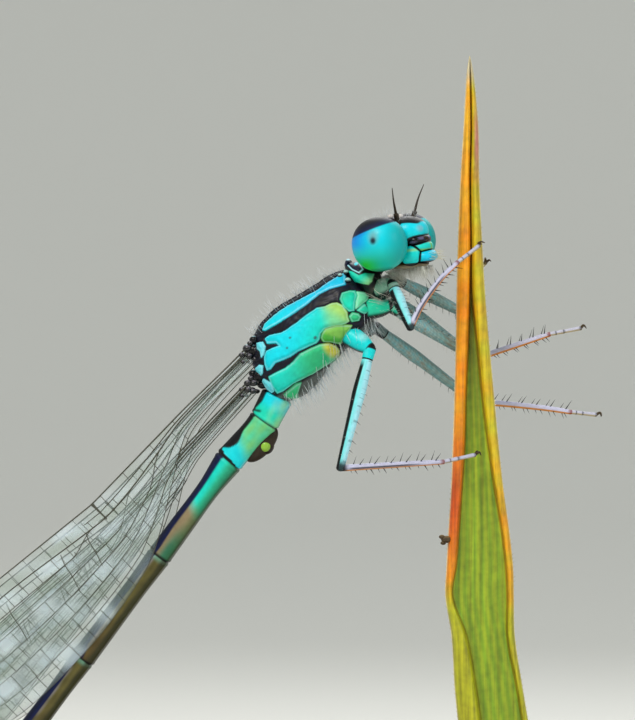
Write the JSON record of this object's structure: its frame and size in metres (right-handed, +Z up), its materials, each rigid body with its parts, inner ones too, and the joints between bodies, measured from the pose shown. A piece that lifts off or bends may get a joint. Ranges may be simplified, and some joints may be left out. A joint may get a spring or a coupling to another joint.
{
  "type": "damselfly",
  "caption": "Damselfly at rest with its wings closed over its back, gripping an upright cut blade of grass on a small display stand.",
  "frame": {"origin": "centre of the stand's underside, on the surface it stands on", "axes": "+Z up, +X along the stand towards the side that the insect's head faces, +Y across the stand, away from a viewer who sees the insect's right side"},
  "size_m": [0.03, 0.016, 0.0356],
  "materials": {
    "cuticle": "smooth, waxy insect cuticle, turquoise with black marks",
    "bronze": "dark, slightly metallic insect cuticle",
    "eye": "glossy compound eye, finely faceted",
    "horn": "dark, thin feeler",
    "leg": "pale blue cuticle with a black stripe",
    "wing": "clear membrane with dark veins",
    "leaf": "grass blade, green with orange margins",
    "wood": "dark stained hardwood, satin varnish",
    "steel": "plain brushed steel rod"
  },
  "bodies": {
    "root": {"stand_base": "wood", "stand_rod": "steel", "perch_grass_blade": "leaf", "femur_fore_right": "leg", "tibia_fore_right": "leg", "femur_middle_right": "leg", "tibia_middle_right": "leg", "femur_hind_right": "leg", "tibia_hind_right": "leg", "femur_fore_left": "leg", "tibia_fore_left": "leg", "femur_middle_left": "leg", "tibia_middle_left": "leg", "femur_hind_left": "leg", "tibia_hind_left": "leg", "synthorax": "cuticle", "prothorax": "bronze", "abdomen_01": "cuticle", "abdomen_02": "cuticle", "abdomen_03": "cuticle", "abdomen_04": "bronze", "abdomen_05": "bronze", "abdomen_06": "bronze", "abdomen_07": "bronze", "abdomen_08": "cuticle", "abdomen_09": "cuticle", "abdomen_10": "cuticle", "forewing_right": "wing", "hindwing_right": "wing", "eye_right": "eye", "antenna_right": "horn", "forewing_left": "wing", "hindwing_left": "wing", "eye_left": "eye", "antenna_left": "horn", "head": "cuticle"}
  },
  "joints": []
}
